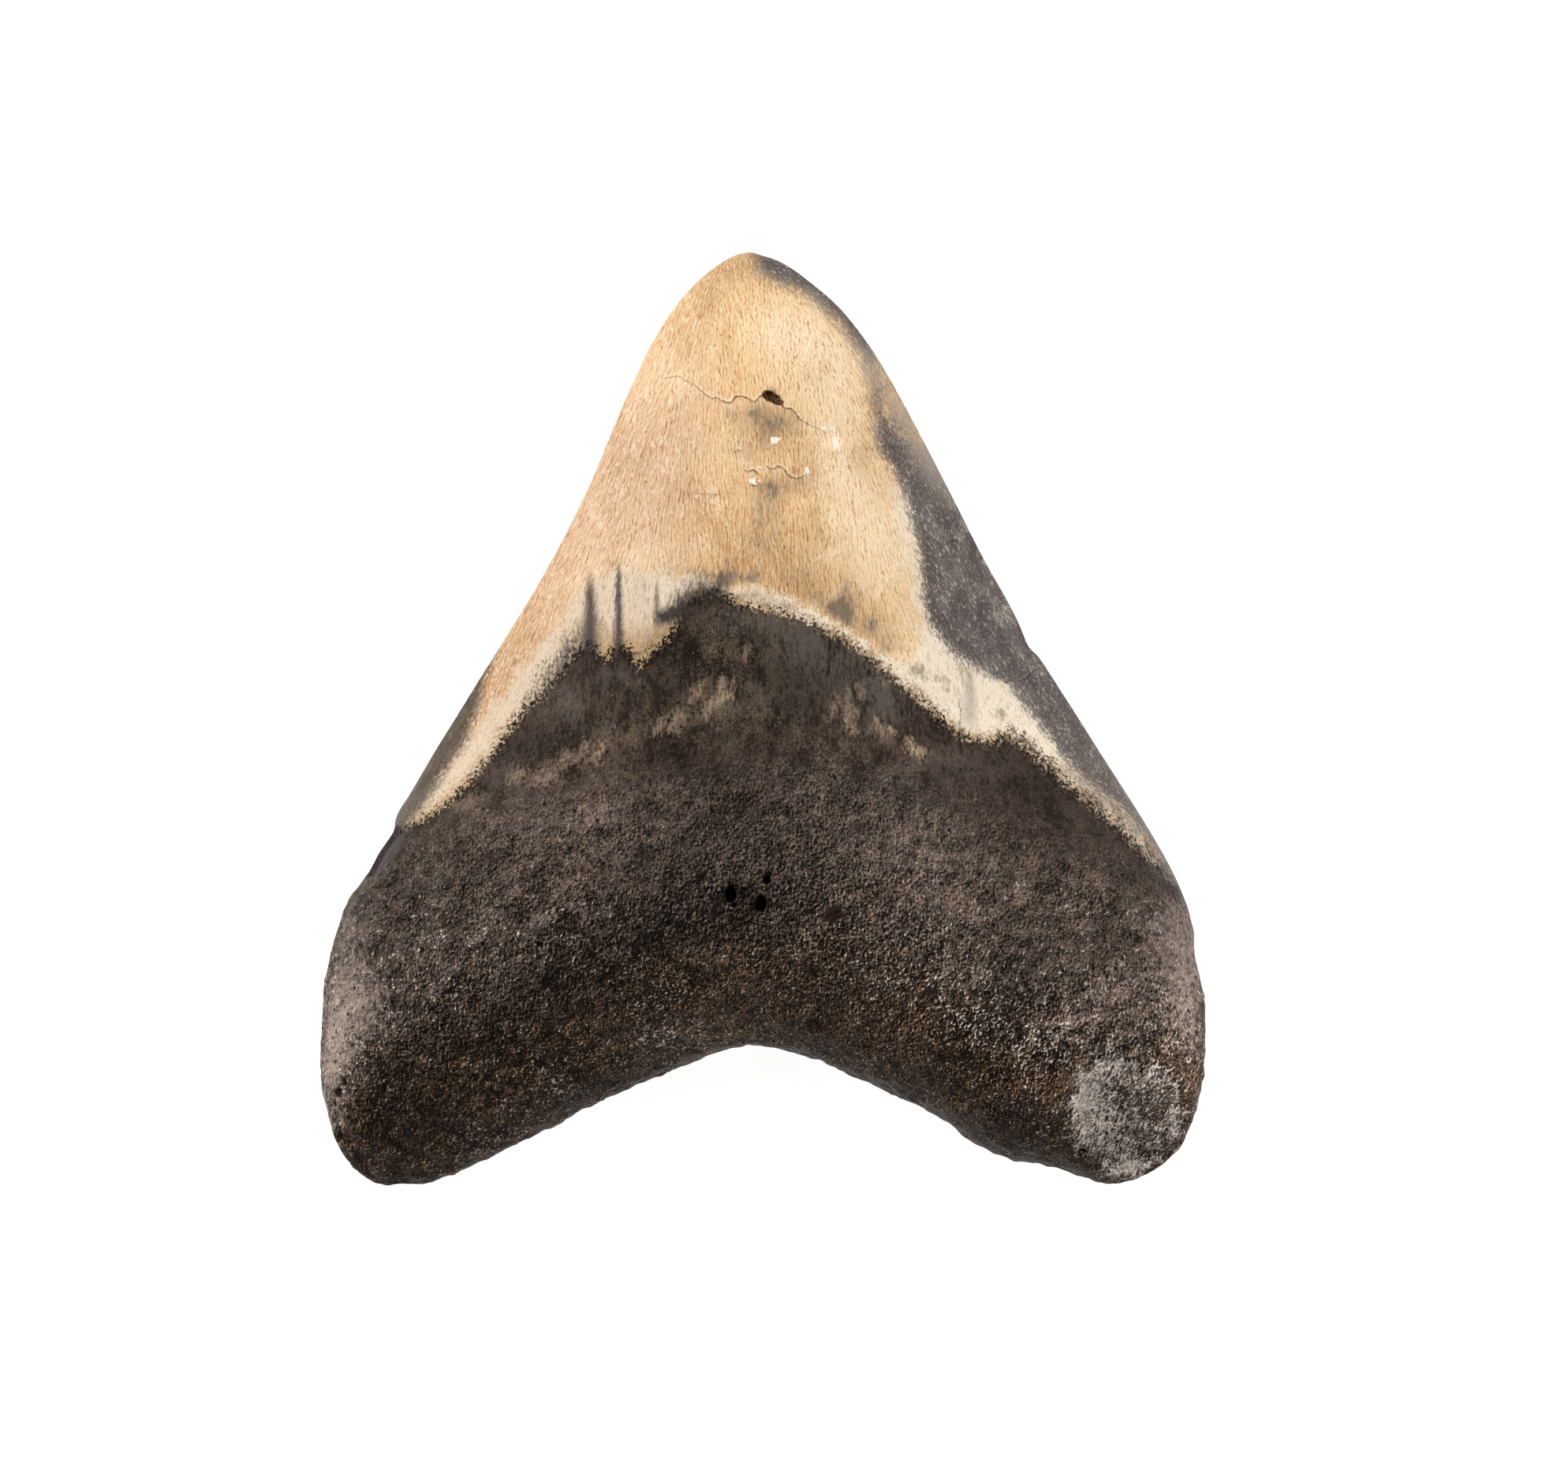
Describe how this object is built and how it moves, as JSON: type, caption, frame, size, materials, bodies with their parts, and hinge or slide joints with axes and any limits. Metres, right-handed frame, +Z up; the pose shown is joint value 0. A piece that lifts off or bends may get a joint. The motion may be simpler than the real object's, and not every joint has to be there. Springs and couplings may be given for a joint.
{
  "type": "megalodon tooth",
  "caption": "Large fossil shark tooth: broad triangular crown on a thick two-lobed root, lying on its flat outer face.",
  "frame": {"origin": "under the middle of the tooth's box, on the surface that its flat outer (labial) face lies on", "axes": "+Y from the root to the crown's tip, +X across the root to the right of someone who looks down on the rounded inner face with the tip away from them, +Z up out of that face"},
  "size_m": [0.1118, 0.1186, 0.0262],
  "materials": {
    "fossil": "satin"
  },
  "bodies": {
    "root": {"tooth": "fossil"}
  },
  "joints": []
}
